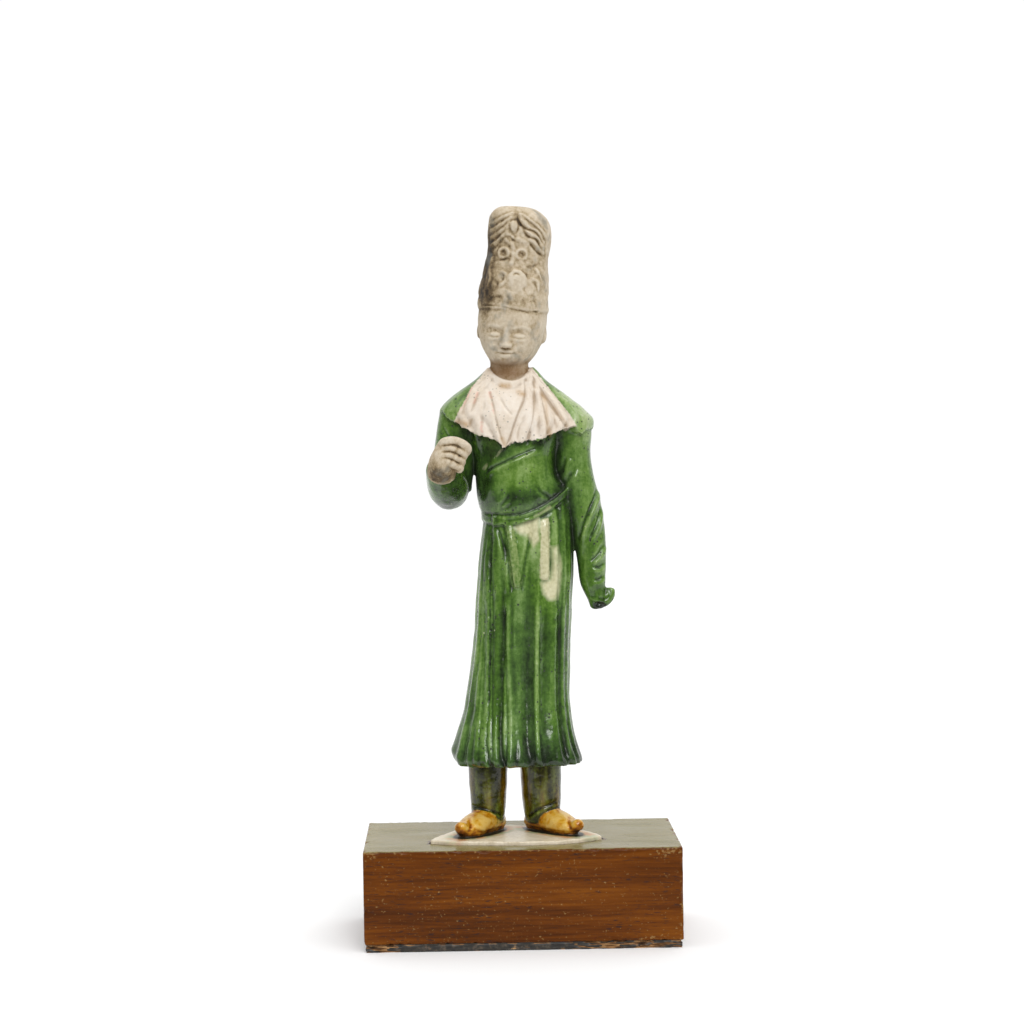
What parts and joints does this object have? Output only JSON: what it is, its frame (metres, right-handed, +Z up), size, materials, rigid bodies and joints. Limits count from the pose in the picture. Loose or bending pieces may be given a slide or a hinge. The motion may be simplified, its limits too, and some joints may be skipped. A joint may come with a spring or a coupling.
{
  "type": "tang tomb attendant figure",
  "caption": "Standing glazed pottery attendant in a tall hat, cape and belted robe, on a fitted wooden block.",
  "frame": {"origin": "centre of the underside of the stand", "axes": "+Z up, the figure faces -Y, +X to the viewer's right as seen from the front"},
  "size_m": [0.162, 0.1, 0.3796],
  "materials": {
    "glazed_pottery": "glossy copper-green lead glaze over a buff body, bare at the head, hat, hand and collar",
    "block_wood": "red-brown polished hardwood, worn at the arrises",
    "board_wood": "black-stained thin board with splintered edges"
  },
  "bodies": {
    "root": {"figure": "glazed_pottery", "plinth_block": "block_wood", "plinth_base_board": "board_wood"}
  },
  "joints": []
}
